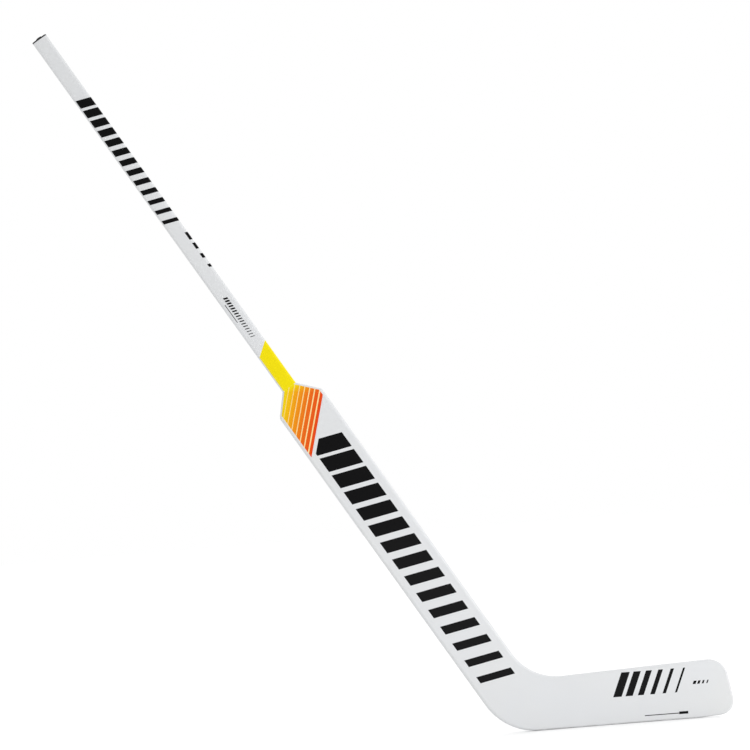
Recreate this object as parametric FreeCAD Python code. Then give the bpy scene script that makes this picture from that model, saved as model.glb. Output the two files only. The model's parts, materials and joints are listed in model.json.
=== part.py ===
import FreeCAD, Part

import math
import os

# A hockey goalie stick, in millimetres, standing on the ice as it is held.
# The origin is on the sole, at the middle of the blade's length. +X runs along the blade to the
# toe, +Z is up, and the playing face looks towards -Y. The shaft's centreline lies in Y = 0.
# A height is measured along the centreline of the shaft, from the ice up. A reach is measured
# square to it in the plane of the paddle, positive towards the toe.

Vector = FreeCAD.Vector

# Stance
LIE_ANGLE = 59.0  # degrees between the shaft and the ice

# Shaft
SHAFT_WIDTH = 27.0
SHAFT_DEPTH = 19.0
SHAFT_WALL = 2.4
SHAFT_LENGTH = 710.0  # from the paddle's neck to the butt end
EDGE_ROUND = 5.5  # rounded edges of the shaft and the paddle

# End plug
PLUG_FLANGE = 2.2
PLUG_FLANGE_ROUND = 0.9
PLUG_BOSS_DIAMETER = 10.5
PLUG_BOSS_HEIGHT = 1.9
PLUG_BOSS_ROUND = 1.4
PLUG_STEM_LENGTH = 42.0
PLUG_STEM_GAP = 0.8  # between the plain stem and the bore
PLUG_STEM_WALL = 2.2
PLUG_STEM_LEAD = 1.5  # chamfer round the tip of the stem
PLUG_RIB_GAP = 0.1  # between the gripping ribs and the bore
PLUG_RIB_WIDTH = 1.6
PLUG_RIB_PITCH = 8.0
PLUG_RIB_COUNT = 4

# Paddle
NECK_HEIGHT = 701.0
SHOULDER_LENGTH = 33.0
SHOULDER_ROUND = 8.0
PADDLE_WIDTH = 86.0

# Blade
BLADE_LENGTH = 386.0  # along the sole, between the square corners of heel and toe
BLADE_HEIGHT = 90.0  # over the origin
BLADE_TOP_RISE = 2.0  # degrees
TOE_LEAN = 9.3  # degrees
HEEL_RADIUS = 100.0
THROAT_RADIUS = 89.0
TOE_TOP_RADIUS = 32.0
TOE_SOLE_RADIUS = 24.0
SOLE_RISE = 4.0  # degrees that the sole lifts before the toe
SOLE_RISE_LENGTH = 61.0  # from where it starts to lift to the square corner of the toe
SOLE_RISE_RADIUS = 150.0
BLADE_ROOT_DEPTH = 12.5
BLADE_TOE_DEPTH = 8.5
BLADE_CURVE = 12.0  # how far the toe bends towards the playing side
BLADE_EDGE_ROUND = 3.0
THINNING_START = -203.0  # X where the paddle's depth starts to fall
THINNING_END = -73.0  # X where it has reached the blade's root depth

# Laminate
SHELL_THICKNESS = 1.6
SHELL_EDGE_WALL = 4.0
PLY_THICKNESS = 0.8
BOND_GAP = 0.15
PARTING_GAP = 0.1

# Inner pieces
SPIGOT_IN_TUBE = 90.0
SPIGOT_IN_PADDLE = 85.0
DAMPER_LENGTH = 60.0
SHOULDER_BLOCK_LENGTH = 100.0
SPINE_WIDTH = 22.0
SPINE_WALL = 1.8
RAIL_WIDTH = 6.0
HEEL_LINE_HEIGHT = 150.0  # where the pieces of the paddle end
BLADE_CORE_START = -83.0  # X where the pieces of the blade start
RIB_HEIGHT = 45.0
RIB_THICKNESS = 2.5

# Directions and places worked out from the sizes above
LIE = math.radians(LIE_ANGLE)
UP = (-math.cos(LIE), math.sin(LIE))
ACROSS = (math.sin(LIE), math.cos(LIE))
TOE_X = BLADE_LENGTH / 2
HEEL_X = -BLADE_LENGTH / 2
FOOT_X = HEEL_X + PADDLE_WIDTH / 2 / math.sin(LIE)  # where the shaft's centreline meets the ice
BUTT_HEIGHT = NECK_HEIGHT + SHAFT_LENGTH
BLOCK_HEIGHT = NECK_HEIGHT - SHOULDER_BLOCK_LENGTH
CAVITY_INSET = SHELL_EDGE_WALL + BOND_GAP
CORE_INSET = CAVITY_INSET + RAIL_WIDTH + BOND_GAP
PLY_DEPTH = SHELL_THICKNESS + BOND_GAP
CORE_DEPTH = PLY_DEPTH + PLY_THICKNESS + BOND_GAP
BORE_WIDTH = SHAFT_WIDTH - 2 * SHAFT_WALL
BORE_DEPTH = SHAFT_DEPTH - 2 * SHAFT_WALL
BORE_ROUND = EDGE_ROUND - SHAFT_WALL
BEYOND = 2 * (BUTT_HEIGHT + BLADE_LENGTH)  # further than any piece reaches


def shaft_point(height, reach):
    """X and Z of a place in the plane of the paddle."""
    return (FOOT_X + height * UP[0] + reach * ACROSS[0], height * UP[1] + reach * ACROSS[1])


def crossing(point, direction, other_point, other_direction):
    """Where two lines in the plane of the paddle meet."""
    turn = direction[0] * other_direction[1] - direction[1] * other_direction[0]
    gap = (other_point[0] - point[0], other_point[1] - point[1])
    run = (gap[0] * other_direction[1] - gap[1] * other_direction[0]) / turn
    return (point[0] + run * direction[0], point[1] + run * direction[1])


def outline_corners():
    """Square corners of paddle and blade, clockwise as seen from the playing side, each with its radius."""
    rise = math.radians(BLADE_TOP_RISE)
    lean = math.radians(TOE_LEAN)
    top_line = ((0.0, BLADE_HEIGHT), (math.cos(rise), math.sin(rise)))
    toe_line = ((TOE_X, 0.0), (-math.sin(lean), math.cos(lean)))
    sole_lift = math.radians(SOLE_RISE)
    lift_line = ((TOE_X - SOLE_RISE_LENGTH, 0.0), (math.cos(sole_lift), math.sin(sole_lift)))
    shoulder_height = NECK_HEIGHT - SHOULDER_LENGTH
    throat = crossing(shaft_point(0.0, PADDLE_WIDTH / 2), UP, *top_line)
    toe_top = crossing(*toe_line, *top_line)
    return [
        (shaft_point(NECK_HEIGHT, SHAFT_WIDTH / 2), 0.0),
        (shaft_point(shoulder_height, PADDLE_WIDTH / 2), SHOULDER_ROUND),
        (throat, THROAT_RADIUS),
        (toe_top, TOE_TOP_RADIUS),
        (crossing(*toe_line, *lift_line), TOE_SOLE_RADIUS),
        (lift_line[0], SOLE_RISE_RADIUS),
        ((HEEL_X, 0.0), HEEL_RADIUS),
        (shaft_point(shoulder_height, -PADDLE_WIDTH / 2), SHOULDER_ROUND),
        (shaft_point(NECK_HEIGHT, -SHAFT_WIDTH / 2), 0.0),
    ]


def inset_corners(corners, inset):
    """The corners with every side moved inwards, so that the rounded outline shrinks evenly."""
    sides = []
    for index, (start, _) in enumerate(corners):
        end = corners[(index + 1) % len(corners)][0]
        length = math.hypot(end[0] - start[0], end[1] - start[1])
        along = ((end[0] - start[0]) / length, (end[1] - start[1]) / length)
        moved = (start[0] + inset * along[1], start[1] - inset * along[0])
        sides.append((moved, along))
    shrunk = []
    for index, (_, radius) in enumerate(corners):
        before = sides[index - 1]
        after = sides[index]
        turn = before[1][0] * after[1][1] - before[1][1] * after[1][0]
        bulges = turn < 0
        new_radius = radius - inset if bulges else radius + inset
        shrunk.append((crossing(*before, *after), max(new_radius, 0.0)))
    return shrunk


def outline_wire(corners):
    """Closed wire of straight sides and tangent arcs in the plane Y = 0."""
    rounded = []
    for index, (corner, radius) in enumerate(corners):
        before = corners[index - 1][0]
        after = corners[(index + 1) % len(corners)][0]
        point = Vector(corner[0], 0, corner[1])
        back = (Vector(before[0], 0, before[1]) - point).normalize()
        ahead = (Vector(after[0], 0, after[1]) - point).normalize()
        half_angle = back.getAngle(ahead) / 2
        run = radius / math.tan(half_angle)
        middle = (back + ahead).normalize() * (radius / math.sin(half_angle) - radius)
        rounded.append((point + back * run, point + middle, point + ahead * run, radius))
    edges = []
    for index, (start, middle, end, radius) in enumerate(rounded):
        if radius > 0:
            edges.append(Part.Arc(start, middle, end).toShape())
        edges.append(Part.makeLine(end, rounded[(index + 1) % len(rounded)][0]))
    return Part.Wire(edges)


def half_depth(x):
    """Half the depth of paddle and blade: even, then falling smoothly, then tapering to the toe."""
    if x <= THINNING_START:
        return SHAFT_DEPTH / 2
    if x <= THINNING_END:
        share = (x - THINNING_START) / (THINNING_END - THINNING_START)
        eased = share * share * (3 - 2 * share)
        return (SHAFT_DEPTH + (BLADE_ROOT_DEPTH - SHAFT_DEPTH) * eased) / 2
    share = (x - THINNING_END) / (TOE_X - THINNING_END)
    return (BLADE_ROOT_DEPTH + (BLADE_TOE_DEPTH - BLADE_ROOT_DEPTH) * share) / 2


def bend(x):
    """Y of the middle of the blade, which curves towards the playing side from its root."""
    share = max(0.0, (x - THINNING_END) / (TOE_X - THINNING_END))
    return -BLADE_CURVE * share * share


def layer_edges(side, offset):
    """Plan line of one layer: side -1 is the playing face, 1 the back, 0 the middle."""

    def level(x):
        return bend(x) + side * half_depth(x) + offset

    thinning = THINNING_END - THINNING_START
    blade = TOE_X - THINNING_END
    stations = [THINNING_START + thinning * share for share in (0, 0.35, 0.7, 1)]
    stations += [THINNING_END + blade * share for share in (0.27, 0.6, 1.05)]
    points = [Vector(x, level(x), 0) for x in stations]
    last_slope = level(stations[-1]) - level(stations[-1] - 1)
    curve = Part.BSplineCurve()
    curve.interpolate(
        Points=points,
        Parameters=stations,
        InitialTangent=Vector(1, 0, 0),
        FinalTangent=Vector(1, last_slope, 0),
    )
    far_end = Vector(-BEYOND, points[0].y, 0)
    return far_end, Part.makeLine(far_end, points[0]), curve.toShape(), points[-1]


def slab(front, back):
    """All the space between two layers, each given as (side, offset)."""
    front_far, front_straight, front_curve, front_end = layer_edges(*front)
    back_far, back_straight, back_curve, back_end = layer_edges(*back)
    ends = [Part.makeLine(front_end, back_end), Part.makeLine(back_far, front_far)]
    edges = [front_straight, front_curve, ends[0], back_curve, back_straight, ends[1]]
    face = Part.Face(Part.Wire(edges))
    face.translate(Vector(0, 0, -BEYOND))
    return face.extrude(Vector(0, 0, 2 * BEYOND))


def panel(inset, front, back):
    """Solid with the outline of paddle and blade, moved in by inset, between two layers."""
    face = Part.Face(outline_wire(inset_corners(outline_corners(), inset)))
    face.translate(Vector(0, -BEYOND, 0))
    return face.extrude(Vector(0, 2 * BEYOND, 0)).common(slab(front, back)).Solids[0]


def rim_radius(x):
    """Edge rounding: that of the shaft on the paddle, falling to that of the blade."""
    share = (x - THINNING_START) / (THINNING_END - THINNING_START)
    share = min(max(share, 0.0), 1.0)
    radius = EDGE_ROUND + (BLADE_EDGE_ROUND - EDGE_ROUND) * share
    return min(radius, 0.9 * half_depth(x))


def is_rim_edge(edge):
    """True for an edge between the rim and a face, but not at the neck or inside a face."""
    ends = (edge.Vertexes[0].Point, edge.Vertexes[-1].Point)
    tolerance = 1e-4
    heights = [(end.x - FOOT_X) * UP[0] + end.z * UP[1] for end in ends]
    at_neck = all(abs(height - NECK_HEIGHT) < tolerance for height in heights)
    in_face = all(abs(end.x - THINNING_START) < tolerance for end in ends)
    middle = (edge.FirstParameter + edge.LastParameter) / 2
    across_rim = abs(edge.tangentAt(middle).y) > 0.9
    return not (at_neck or in_face or across_rim)


def rounded_body():
    """Outside of paddle and blade as one solid, with its rim rounded to the playing face and the back."""
    square = panel(0.0, (-1, 0.0), (1, 0.0))
    rim = []
    for number, edge in enumerate(square.Edges, start=1):
        if is_rim_edge(edge):
            rim.append((number, rim_radius(edge.Vertexes[0].X), rim_radius(edge.Vertexes[-1].X)))
    document = FreeCAD.newDocument("rim")
    blank = document.addObject("Part::Feature", "blank")
    blank.Shape = square
    rounded = document.addObject("Part::Fillet", "rounded")
    rounded.Base = blank
    rounded.Edges = rim
    document.recompute()
    body = rounded.Shape.copy()
    FreeCAD.closeDocument(document.Name)
    return body


def along_shaft(shape):
    """Turn a shape drawn with reach on X and height on Z into the line of the shaft."""
    shape.rotate(Vector(0, 0, 0), Vector(0, 1, 0), LIE_ANGLE - 90)
    shape.translate(Vector(FOOT_X, 0, 0))
    return shape


def upright_bar(width, depth, corner, low, high):
    """Rounded-rectangle bar drawn with reach on X and height on Z."""
    block = Part.makeBox(width, depth, high - low, Vector(-width / 2, -depth / 2, low))
    if corner <= 0:
        return block
    upright = [edge for edge in block.Edges if abs(edge.tangentAt(edge.FirstParameter).z) > 0.9]
    return block.makeFillet(corner, upright)


def level_edges(shape, level):
    """Edges of an upright shape that lie at one height."""
    tolerance = 1e-6
    return [
        edge
        for edge in shape.Edges
        if abs(edge.BoundBox.ZMin - level) < tolerance and abs(edge.BoundBox.ZMax - level) < tolerance
    ]


def bar(width, depth, corner, low, high):
    """Rounded-rectangle bar on the centreline of the shaft, from one height to another."""
    return along_shaft(upright_bar(width, depth, corner, low, high))


def paddle_zone(low, high, left=-BEYOND, right=BEYOND):
    """All the space between two heights and two reaches."""
    return along_shaft(Part.makeBox(right - left, 2 * BEYOND, high - low, Vector(left, -BEYOND, low)))


def blade_zone(start, low=-BEYOND, high=BEYOND):
    """All the space past an X, between two levels."""
    return Part.makeBox(BEYOND, 2 * BEYOND, high - low, Vector(start, -BEYOND, low))


def make_shaft_tube():
    """Hollow shaft from the neck of the paddle to the butt end."""
    outside = bar(SHAFT_WIDTH, SHAFT_DEPTH, EDGE_ROUND, NECK_HEIGHT, BUTT_HEIGHT)
    return outside.cut(bar(BORE_WIDTH, BORE_DEPTH, BORE_ROUND, NECK_HEIGHT, BUTT_HEIGHT))


def make_end_plug():
    """Moulded plug: flange on the butt end, boss on top, hollow ribbed stem in the bore."""
    flange_top = BUTT_HEIGHT + PLUG_FLANGE
    flange = upright_bar(SHAFT_WIDTH, SHAFT_DEPTH, EDGE_ROUND, BUTT_HEIGHT, flange_top)
    flange = flange.makeFillet(PLUG_FLANGE_ROUND, level_edges(flange, flange_top))
    boss = Part.makeCylinder(PLUG_BOSS_DIAMETER / 2, PLUG_BOSS_HEIGHT, Vector(0, 0, flange_top))
    boss = boss.makeFillet(PLUG_BOSS_ROUND, level_edges(boss, flange_top + PLUG_BOSS_HEIGHT))

    tip = BUTT_HEIGHT - PLUG_STEM_LENGTH
    stem_width = BORE_WIDTH - 2 * PLUG_STEM_GAP
    stem_depth = BORE_DEPTH - 2 * PLUG_STEM_GAP
    stem = upright_bar(stem_width, stem_depth, BORE_ROUND - PLUG_STEM_GAP, tip, BUTT_HEIGHT)
    stem = stem.makeChamfer(PLUG_STEM_LEAD, level_edges(stem, tip))
    rib_width = BORE_WIDTH - 2 * PLUG_RIB_GAP
    rib_depth = BORE_DEPTH - 2 * PLUG_RIB_GAP
    for number in range(PLUG_RIB_COUNT):
        top = BUTT_HEIGHT - PLUG_RIB_PITCH * (number + 0.5)
        rib = upright_bar(rib_width, rib_depth, BORE_ROUND - PLUG_RIB_GAP, top - PLUG_RIB_WIDTH, top)
        stem = stem.fuse(rib)
    hollow_width = stem_width - 2 * PLUG_STEM_WALL
    hollow_depth = stem_depth - 2 * PLUG_STEM_WALL
    hollow = upright_bar(hollow_width, hollow_depth, 0.0, tip, BUTT_HEIGHT - PLUG_STEM_WALL)
    plug = flange.fuse(boss).fuse(stem.cut(hollow)).removeSplitter()
    return along_shaft(plug)


def spigot(clearance):
    """Stepped bar in the tube's bore and between the plies of the paddle, grown by a clearance."""
    step = NECK_HEIGHT - SHELL_EDGE_WALL
    width = BORE_WIDTH - 2 * BOND_GAP + 2 * clearance
    corner = BORE_ROUND - BOND_GAP + clearance
    tube_depth = BORE_DEPTH - 2 * BOND_GAP + 2 * clearance
    paddle_depth = SHAFT_DEPTH - 2 * CORE_DEPTH - 2 * BOND_GAP + 2 * clearance
    upper = bar(width, tube_depth, corner, step - clearance, NECK_HEIGHT + SPIGOT_IN_TUBE + clearance)
    lower = bar(width, paddle_depth, corner, NECK_HEIGHT - SPIGOT_IN_PADDLE - clearance, step)
    return upper.fuse(lower).removeSplitter()


def make_vibration_damper():
    """Elastomer block in the bore, just above the spigot."""
    low = NECK_HEIGHT + SPIGOT_IN_TUBE + BOND_GAP
    return bar(
        BORE_WIDTH - 2 * BOND_GAP,
        BORE_DEPTH - 2 * BOND_GAP,
        BORE_ROUND - BOND_GAP,
        low,
        low + DAMPER_LENGTH,
    )


def make_shells():
    """Front and back skins of paddle and blade, which meet in the middle of the rim."""
    cavity = panel(SHELL_EDGE_WALL, (-1, SHELL_THICKNESS), (1, -SHELL_THICKNESS))
    skin = rounded_body().cut(cavity).cut(spigot(BOND_GAP))
    front = skin.common(slab((-1, -SHAFT_DEPTH), (0, -PARTING_GAP / 2)))
    back = skin.common(slab((0, PARTING_GAP / 2), (1, SHAFT_DEPTH)))
    return {"front_shell": front, "back_shell": back}


def make_plies():
    """Carbon face sheets behind the two shells."""
    inner = PLY_DEPTH + PLY_THICKNESS
    return {
        "front_carbon_ply": panel(CAVITY_INSET, (-1, PLY_DEPTH), (-1, inner)),
        "back_carbon_ply": panel(CAVITY_INSET, (1, -inner), (1, -PLY_DEPTH)),
    }


def make_core_pieces():
    """Blocks, spine, foam, rails and rib that fill the space between the two plies."""
    front = (-1, CORE_DEPTH)
    back = (1, -CORE_DEPTH)
    space = panel(CAVITY_INSET, front, back)
    ring = space.cut(panel(CAVITY_INSET + RAIL_WIDTH, front, back))
    core = panel(CORE_INSET, front, back)
    half_gap = BOND_GAP / 2
    pieces = {}

    slot = bar(
        BORE_WIDTH, SHAFT_DEPTH, 0.0, NECK_HEIGHT - SPIGOT_IN_PADDLE - BOND_GAP, NECK_HEIGHT
    )
    pieces["shoulder_block"] = space.common(paddle_zone(BLOCK_HEIGHT + half_gap, BUTT_HEIGHT)).cut(slot)

    low = HEEL_LINE_HEIGHT + half_gap
    high = BLOCK_HEIGHT - half_gap
    spine_half = SPINE_WIDTH / 2
    spine = core.common(paddle_zone(low, high, -spine_half, spine_half))
    spine_bore = bar(
        SPINE_WIDTH - 2 * SPINE_WALL, SHAFT_DEPTH - 2 * (CORE_DEPTH + SPINE_WALL), 0.0, low, high
    )
    pieces["paddle_spine"] = spine.cut(spine_bore)
    beside_spine = spine_half + BOND_GAP
    pieces["paddle_core_toe_side"] = core.common(paddle_zone(low, high, left=beside_spine))
    pieces["paddle_core_back_side"] = core.common(paddle_zone(low, high, right=-beside_spine))
    pieces["paddle_rail_toe_side"] = ring.common(paddle_zone(low, high, left=beside_spine))
    pieces["paddle_rail_back_side"] = ring.common(paddle_zone(low, high, right=-beside_spine))

    below_heel_line = paddle_zone(-BEYOND, HEEL_LINE_HEIGHT - half_gap)
    rib_low = RIB_HEIGHT - RIB_THICKNESS / 2
    rib_high = RIB_HEIGHT + RIB_THICKNESS / 2
    past_root = BLADE_CORE_START + half_gap
    pieces["heel_block"] = core.common(below_heel_line).cut(blade_zone(BLADE_CORE_START - half_gap))
    pieces["blade_rib"] = core.common(blade_zone(past_root, rib_low, rib_high))
    pieces["blade_core_upper"] = core.common(blade_zone(past_root, low=rib_high + BOND_GAP))
    pieces["blade_core_lower"] = core.common(blade_zone(past_root, high=rib_low - BOND_GAP))

    toe_split = blade_zone(BLADE_CORE_START, RIB_HEIGHT - half_gap, RIB_HEIGHT + half_gap)
    blade_rails = ring.common(below_heel_line).cut(toe_split).Solids
    pieces["sole_rail"], pieces["top_rail"] = sorted(blade_rails, key=lambda rail: rail.CenterOfMass.z)
    return pieces


def main():
    """Make every piece and write one file for each."""
    pieces = {
        "shaft_tube": make_shaft_tube(),
        "end_plug": make_end_plug(),
        "joint_spigot": spigot(0.0),
        "vibration_damper": make_vibration_damper(),
    }
    pieces.update(make_shells())
    pieces.update(make_plies())
    pieces.update(make_core_pieces())
    os.makedirs("parts", exist_ok=True)
    for name, shape in pieces.items():
        if len(shape.Solids) != 1 or not shape.isValid():
            raise ValueError(f"{name} is not one valid solid")
        solid = shape.Solids[0]
        solid.exportStep(f"parts/{name}.step")
        print(f"{name}: {solid.Volume / 1000:.2f} cm3")


main()
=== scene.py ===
"""Looks of a hockey goalie stick, built round its packed construction model.

The stick lies in the XZ plane with its sole on the floor, the blade along +X, the playing face towards -Y.
A place on the paddle and shaft is given by its height, along the shaft's centreline from the ice, and its
reach, square to that line and positive towards the toe. All lengths are in metres.
"""

from __future__ import annotations

import json
import logging
import math
from dataclasses import dataclass
from enum import Enum
from typing import Any, Sequence, Union

import bpy
import numpy as np
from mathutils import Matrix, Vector

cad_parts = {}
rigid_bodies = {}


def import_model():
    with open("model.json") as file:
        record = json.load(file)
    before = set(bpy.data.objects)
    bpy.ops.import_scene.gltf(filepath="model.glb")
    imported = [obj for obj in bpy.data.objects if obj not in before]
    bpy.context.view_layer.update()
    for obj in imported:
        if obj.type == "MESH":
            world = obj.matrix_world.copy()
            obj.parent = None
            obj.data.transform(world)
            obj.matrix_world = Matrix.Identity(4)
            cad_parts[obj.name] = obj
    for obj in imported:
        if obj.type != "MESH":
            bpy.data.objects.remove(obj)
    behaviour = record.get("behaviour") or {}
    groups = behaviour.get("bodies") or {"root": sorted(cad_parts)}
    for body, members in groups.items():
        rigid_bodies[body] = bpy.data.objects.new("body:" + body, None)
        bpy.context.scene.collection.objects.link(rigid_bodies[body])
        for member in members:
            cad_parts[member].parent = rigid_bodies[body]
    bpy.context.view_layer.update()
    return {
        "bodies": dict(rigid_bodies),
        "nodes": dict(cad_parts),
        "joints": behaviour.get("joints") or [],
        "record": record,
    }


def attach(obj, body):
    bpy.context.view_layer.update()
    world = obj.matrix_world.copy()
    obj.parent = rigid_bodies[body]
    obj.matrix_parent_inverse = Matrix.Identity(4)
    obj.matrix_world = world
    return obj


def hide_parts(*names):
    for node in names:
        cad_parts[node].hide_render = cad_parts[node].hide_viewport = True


LOG = logging.getLogger("goalie_stick")
STICK_BODY = "stick"
PLUG_BODY = "plug"

# How softly a printed edge ends, and the angle from which an edge of a mesh is shaded sharp
PRINT_EDGE = 0.00015
SHARP_ANGLE = math.radians(38)

Pair = tuple[float, float]
Place = tuple[float, float, float]
Colour = tuple[float, float, float, float]
Array = np.ndarray
Piece = bpy.types.Object
Material = bpy.types.Material
Socket = bpy.types.NodeSocket


def ink(*levels: float) -> Colour:
    """Turn a colour as the eye reads it into the linear colour that a shader takes.

    Args:
        levels: Red, green and blue, 0 to 255.

    Returns:
        Linear red, green, blue and an alpha of 1.
    """
    shares = np.array(levels) / 255.0
    linear = np.where(shares <= 0.04045, shares / 12.92, ((shares + 0.055) / 1.055) ** 2.4)
    return (*linear.tolist(), 1.0)


class Value:
    """A number that varies over a surface: a socket, with arithmetic that adds Math nodes."""

    def __init__(self, graph: Graph, socket: Socket) -> None:
        """Wrap a socket of a graph."""
        self.graph = graph
        self.socket = socket

    def _math(self, operation: str, first: Number, second: Number = 0.0, clamp: bool = False) -> Value:
        """Add one Math node.

        Args:
            operation: Blender's name of the operation.
            first: First operand.
            second: Second operand, where there is one.
            clamp: Whether the result is kept between 0 and 1.

        Returns:
            The result.
        """
        settings = {"operation": operation, "use_clamp": clamp}
        made = self.graph.node("ShaderNodeMath", settings, {0: first, 1: second})
        return Value(self.graph, made.outputs[0])

    def __add__(self, other: Number) -> Value:
        """Sum."""
        return self._math("ADD", self, other)

    __radd__ = __add__

    def __sub__(self, other: Number) -> Value:
        """Difference."""
        return self._math("SUBTRACT", self, other)

    def __rsub__(self, other: Number) -> Value:
        """Difference, taken from a number."""
        return self._math("SUBTRACT", other, self)

    def __mul__(self, other: Number) -> Value:
        """Product."""
        return self._math("MULTIPLY", self, other)

    __rmul__ = __mul__

    def __truediv__(self, other: Number) -> Value:
        """Quotient."""
        return self._math("DIVIDE", self, other)

    def __or__(self, other: Number) -> Value:
        """The larger of two masks."""
        return self._math("MAXIMUM", self, other)

    def floor(self) -> Value:
        """The whole number below."""
        return self._math("FLOOR", self)

    def sine(self) -> Value:
        """The sine of an angle in radians."""
        return self._math("SINE", self)

    def size(self) -> Value:
        """The number without its sign."""
        return self._math("ABSOLUTE", self)

    def above(self, edge: Number, soft: float = PRINT_EDGE) -> Value:
        """Mask that rises from 0 to 1 at an edge, in a step as wide as it is soft."""
        return self._math("ADD", (self - edge) * (1.0 / soft), 0.5, clamp=True)

    def below(self, edge: Number, soft: float = PRINT_EDGE) -> Value:
        """Mask that falls from 1 to 0 at an edge, as above() rises."""
        return 1.0 - self.above(edge, soft)

    def within(self, low: Number, high: Number) -> Value:
        """Mask of the stretch between two edges."""
        return self.above(low) * self.below(high)

    def blend(self, other: Value, share: float) -> Value:
        """Mix in a share of another number."""
        return self * (1.0 - share) + other * share


Number = Union[Value, float, int]


class Graph:
    """The nodes of one material or of the world, with one way to add a node."""

    def __init__(self, tree: bpy.types.NodeTree) -> None:
        """Start from an empty tree."""
        self.tree = tree
        self.tree.nodes.clear()

    def node(
        self, kind: str, settings: dict[str, Any] | None = None, sockets: dict[Any, Any] | None = None
    ) -> bpy.types.Node:
        """Add a node, set it up, then fill its sockets.

        Args:
            kind: Blender's name of the node type.
            settings: Properties of the node, and "stops" as (place, colour) pairs of a colour ramp.
            sockets: Input name or number to a value, a socket or a Value.

        Returns:
            The node.
        """
        made = self.tree.nodes.new(kind)
        for name, setting in (settings or {}).items():
            if name == "stops":
                self._set_stops(made.color_ramp, setting)
            else:
                setattr(made, name, setting)
        for key, content in (sockets or {}).items():
            if isinstance(content, Value):
                content = content.socket
            if isinstance(content, Socket):
                self.tree.links.new(content, made.inputs[key])
            else:
                made.inputs[key].default_value = content
        return made

    @staticmethod
    def _set_stops(ramp: bpy.types.ColorRamp, stops: Sequence[tuple[float, Colour]]) -> None:
        """Give a colour ramp its stops.

        Args:
            ramp: The ramp.
            stops: Place and colour of each stop, in rising order.
        """
        while len(ramp.elements) < len(stops):
            ramp.elements.new(1.0)
        for element, (place, colour) in zip(ramp.elements, stops):
            element.position = place
            element.color = colour

    def mixed(self, share: Number, first: Any, second: Any) -> Socket:
        """Mix two colours or colour sockets, by the share of the second."""
        made = self.node("ShaderNodeMix", {"data_type": "RGBA"}, {0: share, 6: first, 7: second})
        return made.outputs[2]

    def spot(self) -> Socket:
        """Where a point of the surface is, as a vector."""
        return self.node("ShaderNodeTexCoord").outputs["Object"]

    def parts(self, vector: Socket) -> tuple[Value, Value, Value]:
        """X, Y and Z of a vector."""
        x, y, z = self.node("ShaderNodeSeparateXYZ", sockets={0: vector}).outputs
        return Value(self, x), Value(self, y), Value(self, z)

    def rays(self, *kinds: str) -> Value:
        """Mask of rays of some kinds.

        Args:
            kinds: The kinds, such as Camera or Glossy.

        Returns:
            1 for a ray of one of these kinds.
        """
        path = self.node("ShaderNodeLightPath").outputs
        mask = Value(self, path[f"Is {kinds[0]} Ray"])
        for kind in kinds[1:]:
            mask = mask | Value(self, path[f"Is {kind} Ray"])
        return mask

    def noise(
        self, spot: Socket, grain: float, detail: float = 2.0, stretch: Sequence[float] = (1, 1, 1)
    ) -> Value:
        """Cloudy noise from 0 to 1.

        Args:
            spot: Where the point is.
            grain: Size of a cloud.
            detail: How many finer layers are added.
            stretch: How many times finer the clouds are along each axis.

        Returns:
            The noise.
        """
        scale = tuple(share / grain for share in stretch)
        mapped = self.node("ShaderNodeMapping", sockets={"Vector": spot, "Scale": scale})
        sockets = {"Vector": mapped.outputs[0], "Scale": 1.0, "Detail": detail}
        return Value(self, self.node("ShaderNodeTexNoise", sockets=sockets).outputs[0])

    def bump(self, height: Value) -> Socket:
        """Normal of a surface with a fine relief, whose height is in metres."""
        sockets = {"Strength": 1.0, "Distance": 1.0, "Height": height}
        return self.node("ShaderNodeBump", sockets=sockets).outputs[0]

    def end(self, shader: bpy.types.Node) -> None:
        """End a material in this shader."""
        self.node("ShaderNodeOutputMaterial", sockets={"Surface": shader.outputs[0]})


def new_material(name: str) -> tuple[Material, Graph]:
    """Make an empty material that uses nodes.

    Args:
        name: Name of the material.

    Returns:
        The material and its graph.
    """
    material = bpy.data.materials.new(name)
    material.use_nodes = True
    return material, Graph(material.node_tree)


@dataclass(frozen=True)
class Stick:
    """Sizes that several pieces share, and the directions of height and reach.

    Neck and butt are heights. Width, depth, corner and wall are the shaft's.
    """

    lie: float = math.radians(59)
    heel_x: float = -0.193
    paddle_width: float = 0.086
    neck: float = 0.701
    butt: float = 1.411
    width: float = 0.027
    depth: float = 0.019
    corner: float = 0.0055
    wall: float = 0.0024

    @property
    def foot_x(self) -> float:
        """X where the shaft's centreline meets the ice: half a paddle in from the heel."""
        return self.heel_x + self.paddle_width / 2.0 / math.sin(self.lie)

    @property
    def up(self) -> Array:
        """Direction of rising height, in X and Z."""
        return np.array([-math.cos(self.lie), math.sin(self.lie)])

    @property
    def across(self) -> Array:
        """Direction of growing reach, in X and Z."""
        return np.array([math.sin(self.lie), math.cos(self.lie)])

    def at(self, height: Any, reach: Any) -> Array:
        """X and Z of one place or of many: the foot, plus height times up, plus reach times across."""
        foot = np.array([self.foot_x, 0.0])
        return foot + np.multiply.outer(height, self.up) + np.multiply.outer(reach, self.across)

    def read(self, x: Value, z: Value) -> tuple[Value, Value]:
        """Height and reach of a point of a surface, for a shader.

        Args:
            x: X of the point.
            z: Z of the point.

        Returns:
            Its height and its reach.
        """
        along = x - self.foot_x
        height = along * float(self.up[0]) + z * float(self.up[1])
        reach = along * float(self.across[0]) + z * float(self.across[1])
        return height, reach


STICK = Stick()


class Side(Enum):
    """Which half of the paddle and blade a shell covers, by the sign of Y."""

    FRONT = -1
    BACK = 1


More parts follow.
